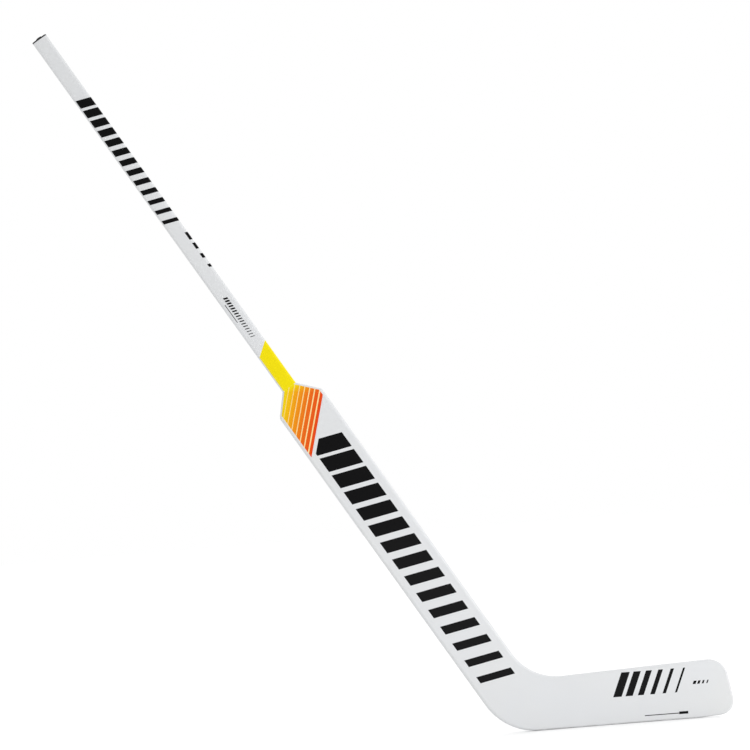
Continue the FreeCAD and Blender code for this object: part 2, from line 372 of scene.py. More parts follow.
@dataclass(frozen=True)
class BarRow:
    """A row of printed bars whose widths change evenly from the first to the last."""

    start: float
    pitch: float
    count: int
    first: float
    last: float

    def mask(self, along: Value) -> Value:
        """Mask of the bars.

        The bar's number is the whole part of (along - start) / pitch, and a point is inked while what is
        left over is less than the width that this number gives. The row ends in the gap after its last bar,
        half a pitch on from that bar's start.

        Args:
            along: Distance along the row.

        Returns:
            1 on the bars.
        """
        run = along - self.start
        number = (run / self.pitch).floor()
        left_over = run - number * self.pitch
        width = self.first + number * ((self.last - self.first) / (self.count - 1))
        return left_over.below(width) * run.within(0.0, self.pitch * (self.count - 0.5))


@dataclass(frozen=True)
class Patch:
    """A printed rectangle, by its edges along one direction and along the other."""

    along: Pair
    across: Pair

    def mask(self, along: Value, across: Value) -> Value:
        """Mask of the rectangle."""
        return along.within(*self.along) * across.within(*self.across)


@dataclass(frozen=True)
class PrintLayout:
    """Where the printed bars and colours lie on shaft, paddle and blade.

    Rows on shaft and paddle run downwards, along the slanted height with its sign turned. Rows on the blade
    run along its X. Patches are given by height and reach on the shaft, and by X and Z on the blade.
    """

    slant: float = math.tan(math.radians(19.6))
    shaft_bars: BarRow = BarRow(-1.289, 0.0204, 13, 0.0155, 0.0070)
    shaft_bar_edge: float = -0.0112
    edge_dashes: BarRow = BarRow(-1.014, 0.0215, 4, 0.0150, 0.0060)
    edge_dash_reach: float = 0.0088
    fine_ticks: BarRow = BarRow(-0.884, 0.0052, 16, 0.0034, 0.0012)
    fine_tick_reach: Pair = (-0.0032, 0.0042)
    fine_rule: Patch = Patch((0.838, 0.874), (-0.0074, -0.0063))
    paddle_bars: BarRow = BarRow(-0.600, 0.0343, 15, 0.0285, 0.0125)
    paddle_bar_reach: float = 0.028
    band_start: float = 0.778
    band_slant: float = 0.74
    neck_reach: float = 0.0097
    shoulder_spread: float = 0.894
    fade_reach: Pair = (-0.0375, 0.0385)
    fade_foot: float = 0.585
    fade_slant: float = 0.967
    fade_span: float = 0.067
    fade_margin: float = 0.006
    yellow_rise: float = 0.041
    pinstripes: BarRow = BarRow(0.0052, 0.0086, 7, 0.0022, 0.0008)
    blade_bars: BarRow = BarRow(-0.010, 0.0205, 6, 0.0142, 0.0036)
    blade_bar_level: Pair = (0.045, 0.085)
    blade_bar_lean: float = 0.42
    blade_ticks: BarRow = BarRow(0.118, 0.0075, 4, 0.0050, 0.0022)
    blade_tick_level: Pair = (0.0565, 0.0620)
    sole_rule: Patch = Patch((0.040, 0.112), (0.0098, 0.0112))
    sole_block: Patch = Patch((0.097, 0.112), (0.0086, 0.0130))


@dataclass(frozen=True)
class Finish:
    """A finish: a material of one Principled shader, whose roughness has a least value and a spread."""

    name: str
    roughness: Pair

    def rough(self, share: Value) -> Value:
        """Roughness that rises from its least value with a share of its spread."""
        return self.roughness[0] + share * self.roughness[1]

    def sockets(self, graph: Graph) -> dict[str, Any]:
        """Work out the shader's sockets, which each finish does in its own way."""
        raise NotImplementedError

    def make(self) -> Material:
        """Build the material.

        Returns:
            The material.
        """
        material, graph = new_material(self.name)
        graph.end(graph.node("ShaderNodeBsdfPrincipled", sockets=self.sockets(graph)))
        return material


@dataclass(frozen=True)
class PrintedPaint(Finish):
    """White gloss paint over moulded laminate, with black bars and a yellow to red fade printed on it.

    A step is the middle and width of the edge of a mask.
    """

    name: str = "printed_white_paint"
    roughness: Pair = (0.42, 0.12)
    ink_roughness: float = 0.10
    rub_roughness: float = 0.25
    coat: float = 0.35
    ink_coat: float = -0.25
    rub_coat: float = -0.3
    coat_roughness: float = 0.07
    specular: float = 0.06
    layout: PrintLayout = PrintLayout()
    cool_white: Colour = ink(226, 228, 232)
    warm_white: Colour = ink(229, 230, 229)
    white_cloud: float = 0.11
    black: Colour = ink(12, 12, 13)
    worn_black: Colour = ink(20, 20, 21)
    black_speckle: float = 0.0016
    pale_line: Colour = ink(255, 228, 160)
    fade_stops: tuple[tuple[float, Colour], ...] = (
        (0.0, ink(234, 72, 20)),
        (0.34, ink(239, 112, 26)),
        (0.66, ink(246, 164, 22)),
        (1.0, ink(247, 228, 14)),
    )
    rubbed: Colour = ink(178, 178, 176)
    rub_share: float = 0.55
    rub_step: Pair = (0.00156, 0.0026)
    scuff_grain: float = 0.006
    scuff_step: Pair = (0.47, 0.16)
    fibre_pitch: float = 0.0032
    fibre_relief: float = 0.000006
    peel_grain: float = 0.0035
    peel_relief: float = 0.000012
    print_relief: float = 0.000020
    smudge_grain: float = 0.045

    def black_mask(self, height: Value, reach: Value, depth: Value, x: Value, z: Value) -> Value:
        """Mask of all black print.

        Args:
            height: Height of the point.
            reach: Reach of the point.
            depth: Distance above the lower edge of the colour field.
            x: X of the point.
            z: Z of the point.

        Returns:
            1 on the black print.
        """
        plan = self.layout
        slanted = 0.0 - (height + reach * plan.slant)
        leaning = x - (z - plan.blade_bar_level[0]) * plan.blade_bar_lean
        on_paddle = reach.size().below(plan.paddle_bar_reach) * depth.below(-plan.fade_margin)
        marks = plan.shaft_bars.mask(slanted) * reach.above(plan.shaft_bar_edge)
        for mark in (
            plan.edge_dashes.mask(slanted) * reach.above(plan.edge_dash_reach),
            plan.fine_ticks.mask(slanted) * reach.within(*plan.fine_tick_reach),
            plan.fine_rule.mask(height, reach),
            plan.paddle_bars.mask(slanted) * on_paddle,
            plan.blade_bars.mask(leaning) * z.within(*plan.blade_bar_level),
            plan.blade_ticks.mask(leaning) * z.within(*plan.blade_tick_level),
            plan.sole_rule.mask(x, z),
            plan.sole_block.mask(x, z),
        ):
            marks = marks | mark
        return marks

    def fade_depth(self, height: Value, reach: Value) -> Value:
        """Distance of a point above the slanted lower edge of the colour field.

        Args:
            height: Height of the point.
            reach: Reach of the point.

        Returns:
            The distance, square to the edge.
        """
        plan = self.layout
        drop = height - (reach - plan.fade_reach[0]) * plan.fade_slant - plan.fade_foot
        return drop * (1.0 / math.hypot(1.0, plan.fade_slant))

    def colour_mask(self, height: Value, reach: Value, depth: Value) -> Value:
        """Mask of the colour field: the band on the shaft and the field between the shoulders.

        Args:
            height: Height of the point.
            reach: Reach of the point.
            depth: Distance above the lower edge of the field.

        Returns:
            1 on the coloured print.
        """
        plan = self.layout
        band = height.above(STICK.neck) * height.below(reach * plan.band_slant + plan.band_start)
        band = band * reach.above(plan.shaft_bar_edge)
        half_width = (STICK.neck - height) * plan.shoulder_spread + plan.neck_reach
        field_mask = height.below(STICK.neck) * reach.size().below(half_width)
        field_mask = field_mask * reach.within(*plan.fade_reach) * depth.above(0.0)
        return band | field_mask

    def faded(self, graph: Graph, height: Value, depth: Value) -> Socket:
        """Colour of the field: a ramp from its lower edge, full at the neck, crossed by pale lines below it.

        Args:
            graph: Where the nodes go.
            height: Height of the point.
            depth: Distance above the lower edge of the field.

        Returns:
            The colour.
        """
        plan = self.layout
        share = depth / plan.fade_span | (height - STICK.neck) / plan.yellow_rise + 1.0
        ramp = graph.node("ShaderNodeValToRGB", {"stops": self.fade_stops}, {0: share})
        lines = plan.pinstripes.mask(depth) * height.below(STICK.neck)
        return graph.mixed(lines, ramp.outputs[0], self.pale_line)

    def sockets(self, graph: Graph) -> dict[str, Any]:
        """Work out the shader's sockets.

        The paint is a mottled white, the fade comes over it, and black over both. A faint weave, orange peel
        and the thickness of the ink give the relief, and the lowest edge of the sole is rubbed.

        Args:
            graph: Where the nodes go.

        Returns:
            What each socket gets.
        """
        spot = graph.spot()
        x, _, z = graph.parts(spot)
        height, reach = STICK.read(x, z)
        depth = self.fade_depth(height, reach)
        coloured = self.colour_mask(height, reach, depth)
        inked = self.black_mask(height, reach, depth, x, z)
        scuff = graph.noise(spot, self.scuff_grain, detail=4.0, stretch=(0.25, 1.0, 1.0))
        rub = z.below(*self.rub_step) * scuff.above(*self.scuff_step)

        cloud = graph.noise(spot, self.white_cloud, detail=3.0)
        speckle = graph.noise(spot, self.black_speckle, detail=1.0)
        colour = graph.mixed(cloud, self.cool_white, self.warm_white)
        colour = graph.mixed(coloured, colour, self.faded(graph, height, depth))
        colour = graph.mixed(inked, colour, graph.mixed(speckle, self.black, self.worn_black))
        colour = graph.mixed(rub * self.rub_share, colour, self.rubbed)

        turn = 2.0 * math.pi / self.fibre_pitch
        weave = ((height + reach) * turn).sine() * ((height - reach) * turn).sine()
        peel = graph.noise(spot, self.peel_grain, detail=1.0)
        relief = weave * self.fibre_relief + peel * self.peel_relief + (coloured | inked) * self.print_relief
        smudge = graph.noise(spot, self.smudge_grain, detail=4.0)
        return {
            "Base Color": colour,
            "Roughness": self.rough(smudge) + inked * self.ink_roughness + rub * self.rub_roughness,
            "Specular IOR Level": self.specular,
            "Coat Weight": self.coat + inked * self.ink_coat + rub * self.rub_coat,
            "Coat Roughness": self.coat_roughness,
            "Normal": graph.bump(relief),
        }


@dataclass(frozen=True)
class MouldedPlastic(Finish):
    """Black moulded plastic with a fine spark-eroded texture and lighter rubbed patches."""

    name: str = "black_moulded_plastic"
    roughness: Pair = (0.44, 0.16)
    dark: Colour = ink(34, 34, 35)
    light: Colour = ink(52, 52, 54)
    light_share: float = 1.0
    cloud_grain: float = 0.006
    cloud_detail: float = 3.0
    skin_grain: float = 0.0006
    relief: float = 0.000012

    def sockets(self, graph: Graph) -> dict[str, Any]:
        """Work out the shader's sockets: broad noise gives the colour and fine noise the relief.

        Args:
            graph: Where the nodes go.

        Returns:
            What each socket gets.
        """
        spot = graph.spot()
        cloud = graph.noise(spot, self.cloud_grain, self.cloud_detail)
        return {
            "Base Color": graph.mixed(cloud * self.light_share, self.dark, self.light),
            "Roughness": self.rough(cloud),
            "Normal": graph.bump(graph.noise(spot, self.skin_grain) * self.relief),
        }


@dataclass(frozen=True)
class Elastomer(MouldedPlastic):
    """Soft black rubber with a dusty bloom, made as the moulded plastic is."""

    name: str = "soft_elastomer"
    roughness: Pair = (0.72, 0.2)
    dark: Colour = ink(30, 30, 33)
    light: Colour = ink(78, 78, 82)
    light_share: float = 0.6
    cloud_grain: float = 0.009
    cloud_detail: float = 5.0
    skin_grain: float = 0.0008
    relief: float = 0.00002


@dataclass(frozen=True)
class CarbonLaminate(Finish):
    """Bare carbon laminate: a two by two twill of dark tows under a thin skin of resin."""

    name: str = "carbon_laminate"
    roughness: Pair = (0.34, 0.18)
    coat: Pair = (0.25, 0.1)
    dark: Colour = ink(24, 24, 26)
    light: Colour = ink(52, 53, 57)
    tow: float = 0.002
    tow_edge: float = 0.02
    tow_relief: float = 0.00002
    fibre_grain: float = 0.0009
    fibre_share: float = 0.35
    fibre_relief: float = 0.000006

    def sockets(self, graph: Graph) -> dict[str, Any]:
        """Work out the shader's sockets.

        A point has the number of its lengthwise tow and of its crosswise one. The lengthwise tow lies on top
        where a quarter of their difference leaves less than a half over.

        Args:
            graph: Where the nodes go.

        Returns:
            What each socket gets.
        """
        spot = graph.spot()
        x, y, z = graph.parts(spot)
        height, reach = STICK.read(x, z)
        along = (height / self.tow).floor()
        across = ((reach + y) / self.tow).floor()
        step = (along - across) * 0.25
        lengthwise = (step - step.floor()).below(0.5, self.tow_edge)
        fibre = graph.noise(spot, self.fibre_grain)
        return {
            "Base Color": graph.mixed(lengthwise.blend(fibre, self.fibre_share), self.dark, self.light),
            "Roughness": self.rough(fibre),
            "Coat Weight": self.coat[0] + lengthwise * self.coat[1],
            "Normal": graph.bump(lengthwise * self.tow_relief + fibre * self.fibre_relief),
        }


@dataclass(frozen=True)
class LightFoam(Finish):
    """Rigid foam: a pale body pitted with small closed cells, whose pits are darkened with painted shade."""

    name: str = "light_foam"
    roughness: Pair = (0.78, 0.15)
    body: Colour = ink(232, 222, 190)
    # Painted shade: the darker colour laid at the middle of each cell, where the pit is deepest
    pit_shade: Colour = ink(186, 170, 128)
    cell: float = 0.0016
    cloud_grain: float = 0.02
    cloud_share: float = 0.3
    relief: float = 0.00012

    def sockets(self, graph: Graph) -> dict[str, Any]:
        """Work out the shader's sockets: colour and relief follow the distance to the nearest cell's middle,
        and the colour darkens towards that middle as painted shade in the pits.

        Args:
            graph: Where the nodes go.

        Returns:
            What each socket gets.
        """
        spot = graph.spot()
        cells = graph.node("ShaderNodeTexVoronoi", sockets={"Vector": spot, "Scale": 1.0 / self.cell})
        near = Value(graph, cells.outputs["Distance"])
        cloud = graph.noise(spot, self.cloud_grain)
        return {
            # Painted shade: the colour darkens towards each cell's middle, where the bump sinks into a pit
            "Base Color": graph.mixed(near.blend(cloud, self.cloud_share), self.pit_shade, self.body),
            "Roughness": self.rough(cloud),
            "Normal": graph.bump(near * self.relief),
        }


@dataclass(frozen=True)
class DenseFoam(LightFoam):
    """The darker, finer foam of the blocks at shoulder and heel."""

    name: str = "dense_foam"
    body: Colour = ink(206, 188, 146)
    # Painted shade in the pits of this foam
    pit_shade: Colour = ink(150, 128, 88)
    cell: float = 0.0009


@dataclass(frozen=True)
class RailWood(Finish):
    """Light hardwood laminate with its grain along the rail."""

    name: str = "rail_wood"
    roughness: Pair = (0.55, 0.2)
    early: Colour = ink(212, 176, 128)
    late: Colour = ink(160, 116, 70)
    ring: float = 0.0022
    ring_cant: float = 0.05
    wander: float = 0.006
    wander_grain: float = 0.03
    pore_grain: float = 0.0012
    pore_share: float = 0.4
    relief: float = 0.00004

    def sockets(self, graph: Graph) -> dict[str, Any]:
        """Work out the shader's sockets: growth rings are a sine of the depth, bent by long stretched noise.

        Args:
            graph: Where the nodes go.

        Returns:
            What each socket gets.
        """
        spot = graph.spot()
        _, y, z = graph.parts(spot)
        wander = graph.noise(spot, self.wander_grain, detail=3.0, stretch=(0.5, 2.0, 0.5))
        pores = graph.noise(spot, self.pore_grain, stretch=(0.3, 1.0, 0.3))
        phase = (y + wander * self.wander + z * self.ring_cant) * (2.0 * math.pi / self.ring)
        share = (phase.sine() * 0.5 + 0.5).blend(pores, self.pore_share)
        return {
            "Base Color": graph.mixed(share, self.late, self.early),
            "Roughness": self.rough(pores),
            "Normal": graph.bump(share * self.relief),
        }


def new_piece(
    name: str, points: Array, faces: Sequence[Sequence[int]], materials: Sequence[Material]
) -> Piece:
    """Put points and faces into a mesh object at the origin, smooth but for its sharp and open edges.

    Args:
        name: Name of the piece.
        points: One row of X, Y and Z for each vertex.
        faces: Vertex numbers of each face, anticlockwise from outside.
        materials: Materials of the piece, the first on every face.

    Returns:
        The object.
    """
    mesh = bpy.data.meshes.new(name)
    mesh.from_pydata(points, [], faces)
    for material in materials:
        mesh.materials.append(material)
    mesh.shade_smooth()
    mesh.set_sharp_from_angle(angle=SHARP_ANGLE)
    edge_of_loop = np.empty(len(mesh.loops), dtype=np.int32)
    mesh.loops.foreach_get("edge_index", edge_of_loop)
    sharp = np.empty(len(mesh.edges), dtype=bool)
    mesh.edges.foreach_get("use_edge_sharp", sharp)
    sharp |= np.bincount(edge_of_loop, minlength=len(sharp)) == 1
    mesh.edges.foreach_set("use_edge_sharp", sharp)
    made = bpy.data.objects.new(name, mesh)
    bpy.context.scene.collection.objects.link(made)
    return made


def strip_faces(numbers: Array) -> Array:
    """Quads between the neighbours of a grid of vertex numbers, each a row of four."""
    corners = (numbers[:-1, :-1], numbers[1:, :-1], numbers[1:, 1:], numbers[:-1, 1:])
    return np.stack(corners, axis=-1).reshape(-1, 4)


def heading(angle: float) -> Array:
    """Unit vector in X and Z that rises at an angle from +X."""
    return np.array([math.cos(angle), math.sin(angle)])


def crossing(start: Array, way: Array, other: Array, other_way: Array) -> Array:
    """Where two lines cross: start + t way equals other + u other_way, solved for t."""
    run, _ = np.linalg.solve(np.stack([way, -other_way], axis=-1), other - start)
    return start + run * way


@dataclass(frozen=True)
class Run:
    """Points along one side of an outline, with the direction that leads inwards from each."""

    points: Array
    inward: Array


def rounded_run(
    corners: Sequence[Array], radii: Sequence[float], counts: Sequence[tuple[int, int]], left: float
) -> Run:
    """Sample a run of straight sides and tangent arcs, from its first corner to the end of its last arc.

    A corner is cut back along both sides by its radius times the tangent of half its turn. On the arc the
    heading turns evenly, and a point is the arc's start plus the radius times the change of the normal,
    which is the heading turned a quarter.

    Args:
        corners: Start, then the rounded corners, then a place that the last arc heads for.
        radii: Radius of each rounded corner.
        counts: Points on the side before each rounded corner and on its arc.
        left: 1 where the inside is on the left of the heading, -1 where it is on the right.

    Returns:
        The run, with its normals as the inward directions.
    """
    points, headings = [], []
    start = corners[0]
    for index, (radius, (side_count, arc_count)) in enumerate(zip(radii, counts)):
        before = corners[index + 1] - corners[index]
        after = corners[index + 2] - corners[index + 1]
        first_angle = math.atan2(before[1], before[0])
        turn = math.remainder(math.atan2(after[1], after[0]) - first_angle, 2.0 * math.pi)
        cut = radius * math.tan(abs(turn) / 2.0)
        arc_start = corners[index + 1] - before / np.linalg.norm(before) * cut
        share = np.linspace(0.0, 1.0, side_count, endpoint=False)[:, None]
        points.append(start + share * (arc_start - start))
        headings.append(np.full(side_count, first_angle))
        is_last = index == len(radii) - 1
        angles = first_angle + turn * np.linspace(0.0, 1.0, arc_count + is_last, endpoint=is_last)
        normals = np.stack([-np.sin(angles), np.cos(angles)], axis=-1)
        points.append(arc_start + math.copysign(radius, turn) * (normals[0] - normals))
        headings.append(angles)
        start = corners[index + 1] + after / np.linalg.norm(after) * cut
    angles = np.concatenate(headings)
    return Run(np.concatenate(points), left * np.stack([-np.sin(angles), np.cos(angles)], axis=-1))


@dataclass(frozen=True)
class PaddleAndBlade:
    """The two moulded shells of paddle and blade, which meet at a parting line in the middle of the edge."""

    shoulder_length: float = 0.033
    shoulder_round: float = 0.008
    toe_x: float = 0.193
    blade_height: float = 0.090
    top_rise: float = math.radians(2.0)
    toe_lean: float = math.radians(9.3)
    heel_round: float = 0.100
    throat_round: float = 0.089
    toe_top_round: float = 0.032
    toe_sole_round: float = 0.024
    sole_rise: float = math.radians(4.0)
    sole_rise_length: float = 0.061
    sole_rise_round: float = 0.150
    root_depth: float = 0.0125
    toe_depth: float = 0.0085
    blade_curve: float = 0.012
    thinning: Pair = (-0.203, -0.073)
    blade_edge_round: float = 0.003
    parting_gap: float = 0.0001
    parting_chamfer: float = 0.00028
    wall: float = 0.0015
    shoulder_counts: tuple[int, int] = (10, 10)
    lower_counts: tuple[tuple[int, int], ...] = ((60, 44), (58, 4), (8, 22))
    upper_counts: tuple[tuple[int, int], ...] = ((60, 44), (70, 22))
    cells_across: int = 22
    round_steps: int = 9

    def thinned(self, x: Array) -> Array:
        """Share of the way from paddle to blade, 0 on the paddle and 1 from the blade's root on."""
        start, end = self.thinning
        return np.clip((x - start) / (end - start), 0.0, 1.0)

    def way_out(self, x: Array) -> Array:
        """Share of the way from the blade's root to the toe."""
        root = self.thinning[1]
        return np.maximum(0.0, (x - root) / (self.toe_x - root))

    def half_depth(self, x: Array) -> Array:
        """Half the depth: even on the paddle, eased down to the blade's root, then tapering to the toe.

        Args:
            x: X of each point.

        Returns:
            Half the depth at each point.
        """
        share = self.thinned(x)
        eased = share * share * (3.0 - 2.0 * share)
        paddle = STICK.depth + (self.root_depth - STICK.depth) * eased
        return (paddle + (self.toe_depth - self.root_depth) * self.way_out(x)) / 2.0

    def bend(self, x: Array) -> Array:
        """Y of the middle: the blade curves towards the playing side by the square of the way out."""
        return -self.blade_curve * self.way_out(x) ** 2

    def edge_round(self, x: Array) -> Array:
        """Radius of the rim: the shaft's on the paddle, falling evenly to the blade's."""
        return STICK.corner + (self.blade_edge_round - STICK.corner) * self.thinned(x)

    def runs(self) -> list[Run]:
        """The two long sides of the outline, both from the neck to the toe.

        Along the shoulder the inward direction eases, from the direction of reach at the neck, so that the
        rounded section there is the shaft's own.

        Returns:
            The side by back edge, heel and sole, then the side by toe-side edge, throat and blade top.
        """
        shoulder = STICK.neck - self.shoulder_length
        half = STICK.paddle_width / 2.0
        toe_foot = np.array([self.toe_x, 0.0])
        toe_up = heading(math.pi / 2.0 + self.toe_lean)
        top_line = (np.array([0.0, self.blade_height]), heading(self.top_rise))
        lift_start = np.array([self.toe_x - self.sole_rise_length, 0.0])
        throat = crossing(STICK.at(0.0, half), STICK.up, *top_line)
        toe_top = crossing(toe_foot, toe_up, *top_line)
        toe_sole = crossing(lift_start, heading(self.sole_rise), toe_foot, toe_up)
        heel = np.array([STICK.heel_x, 0.0])
        neck_half = STICK.width / 2.0
        lower = [STICK.at(STICK.neck, -neck_half), STICK.at(shoulder, -half), heel]
        lower += [lift_start, toe_sole, toe_top]
        upper = [STICK.at(STICK.neck, neck_half), STICK.at(shoulder, half), throat, toe_top, toe_sole]
        lower_radii = (self.shoulder_round, self.heel_round, self.sole_rise_round, self.toe_sole_round)
        upper_radii = (self.shoulder_round, self.throat_round, self.toe_top_round)
        sides = [
            rounded_run(lower, lower_radii, (self.shoulder_counts, *self.lower_counts), 1.0),
            rounded_run(upper, upper_radii, (self.shoulder_counts, *self.upper_counts), -1.0),
        ]
        count = self.shoulder_counts[0]
        ease = np.linspace(0.0, 1.0, count, endpoint=False)[:, None]
        for side, towards in zip(sides, (STICK.across, -STICK.across)):
            side.inward[:count] = towards * (1.0 - ease) + side.inward[:count] * ease
        return sides

    def shell_points(self, side: Side) -> tuple[Array, Array, Array]:
        """Points of one shell and the grids of vertex numbers that its faces join.

        The flat is a grid ruled between the two long sides, moved in by the rim's radius r. From its border
        the rim turns through a quarter circle, r (1 - cos a) inside the outline and r (1 - sin a) below the
        face as a falls from a quarter turn to 0, then drops to the parting line, with a small chamfer. Y is
        the middle of the stick plus, on the side of the shell, half its depth less the depth below the face.

        Args:
            side: Which half the shell covers.

        Returns:
            Points, vertex numbers of the flat, and vertex numbers of the rim from the flat outwards.
        """
        lower, upper = self.runs()
        rows = len(lower.points)
        across = np.linspace(0.0, 1.0, self.cells_across + 1)
        toe_points = lower.points[-1] + across[1:-1, None] * (upper.points[-1] - lower.points[-1])
        toe_inward = np.repeat(lower.inward[-1:], len(toe_points), axis=0)
        border = np.concatenate([lower.points, toe_points, upper.points[::-1]])
        inward = np.concatenate([lower.inward, toe_inward, upper.inward[::-1]])
        radius = self.edge_round(border[:, 0])
        middle_depth = self.half_depth(border[:, 0]) - self.parting_gap / 2.0

        flat_lower = lower.points + lower.inward * self.edge_round(lower.points[:, 0])[:, None]
        flat_upper = upper.points + upper.inward * self.edge_round(upper.points[:, 0])[:, None]
        flat = flat_lower[:, None] + across[None, :, None] * (flat_upper - flat_lower)[:, None]
        angles = np.linspace(0.5 * math.pi, 0.0, self.round_steps + 1)[1:, None]
        insets = [radius * (1.0 - np.cos(angles))]
        depths = [radius * (1.0 - np.sin(angles))]
        for inset, above_parting in ((0.0, self.parting_chamfer), (self.parting_chamfer, 0.0)):
            insets.append(np.full((1, len(border)), inset))
            depths.append(middle_depth[None] - above_parting)
        inset = np.concatenate(insets)
        rim = border[None] + inward[None] * inset[..., None]

        plan = np.concatenate([flat.reshape(-1, 2), rim.reshape(-1, 2)])
        depth = np.concatenate([np.zeros(flat.shape[0] * flat.shape[1]), np.concatenate(depths).ravel()])
        y = self.bend(plan[:, 0]) + side.value * (self.half_depth(plan[:, 0]) - depth)
        points = np.stack([plan[:, 0], y, plan[:, 1]], axis=-1)

        flat_numbers = np.arange(rows * len(across)).reshape(rows, len(across))
        first_ring = np.concatenate([flat_numbers[:, 0], flat_numbers[-1, 1:-1], flat_numbers[::-1, -1]])
        rings = flat_numbers.size + np.arange(inset.size).reshape(inset.shape)
        return points, flat_numbers, np.concatenate([first_ring[None], rings])

    def build(self, side: Side, paint: Material) -> Piece:
        """Build one shell with its wall, and have it stand for the CAD shell.

        Args:
            side: Which half the shell covers.
            paint: Its finish.

        Returns:
            The shell.
        """
        word = side.name.lower()
        points, flat, rim = self.shell_points(side)
        faces = np.concatenate([strip_faces(flat), strip_faces(rim)])
        if side is Side.BACK:
            faces = faces[:, ::-1]
        shell = new_piece(f"{word}_skin", points, faces.tolist(), [paint])
        solid = shell.modifiers.new("wall", "SOLIDIFY")
        solid.thickness = self.wall
        solid.offset = -1.0
        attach(shell, STICK_BODY)
        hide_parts(f"{word}_shell")
        return shell


def section(width: Array, depth: Array, radius: Array, steps: int) -> Array:
    """Rounded rectangles, one for each row of sizes.

    A point is the middle of its corner's circle, plus the radius times the direction at its angle, which
    goes once round in four quarter turns with the flat sides between them.

    Args:
        width: Width of each section, along reach.
        depth: Depth of each section, along Y.
        radius: Corner radius of each section.
        steps: Steps in one corner.

    Returns:
        Reach and Y of each point, by section and point.
    """
    quarter = np.repeat(np.arange(4), steps + 1)
    angle = 0.5 * math.pi * (quarter + np.tile(np.linspace(0.0, 1.0, steps + 1), 4))
    reach_sign = np.where((quarter == 0) | (quarter == 3), 1.0, -1.0)
    y_sign = np.where(quarter < 2, 1.0, -1.0)
    reach = reach_sign * (width / 2 - radius)[:, None] + radius[:, None] * np.cos(angle)
    y = y_sign * (depth / 2 - radius)[:, None] + radius[:, None] * np.sin(angle)
    return np.stack([reach, y], axis=-1)


def lofted(heights: Array, sections: Array) -> tuple[Array, Array]:
    """Carry sections along the shaft: each lies square to the centreline at its height.

    Args:
        heights: Height of each section.
        sections: Reach and Y of each point, by section and point.

    Returns:
        Points, and vertex numbers by section and point with the first column repeated at the end.
    """
    plan = STICK.at(heights, 0.0)[:, None] + sections[..., :1] * STICK.across
    points = np.stack([plan[..., 0], sections[..., 1], plan[..., 1]], axis=-1)
    numbers = np.arange(sections.shape[0] * sections.shape[1]).reshape(sections.shape[:2])
    return points.reshape(-1, 3), np.concatenate([numbers, numbers[:, :1]], axis=1)


@dataclass(frozen=True)
class Shaft:
    """The hollow shaft, a rounded-rectangle tube from the neck of the paddle to the butt end."""

    edge_break: float = 0.0003
    lengths: int = 24
    bore_rings: int = 5
    corner_steps: int = 9

    def build(self, paint: Material, laminate: Material) -> Piece:
        """Build the tube as one closed loft: up the outside, over the end, down the bore and back.

        Args:
            paint: Finish of the outside.
            laminate: Finish of the ends and the bore.

        Returns:
            The tube.
        """
        rises = np.linspace(STICK.neck, STICK.butt - self.edge_break, self.lengths + 1)
        bore = np.linspace(STICK.butt, STICK.neck, self.bore_rings)
        heights = np.concatenate([rises, [STICK.butt], bore, [STICK.neck]])
        bore_insets = np.full(len(bore), STICK.wall)
        insets = np.concatenate([np.zeros(len(rises)), [self.edge_break], bore_insets, [0.0]])
        sizes = (STICK.width - 2 * insets, STICK.depth - 2 * insets, STICK.corner - insets)
        points, numbers = lofted(heights, section(*sizes, self.corner_steps))
        numbers[-1] = numbers[0]
        faces = strip_faces(numbers)[:, ::-1]
        tube = new_piece("shaft_skin", points[: numbers.max() + 1], faces.tolist(), [paint, laminate])
        row = np.arange(len(faces)) // (numbers.shape[1] - 1)
        tube.data.polygons.foreach_set("material_index", (row > self.lengths).astype(np.int32))
        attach(tube, STICK_BODY)
        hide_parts("shaft_tube")
        return tube


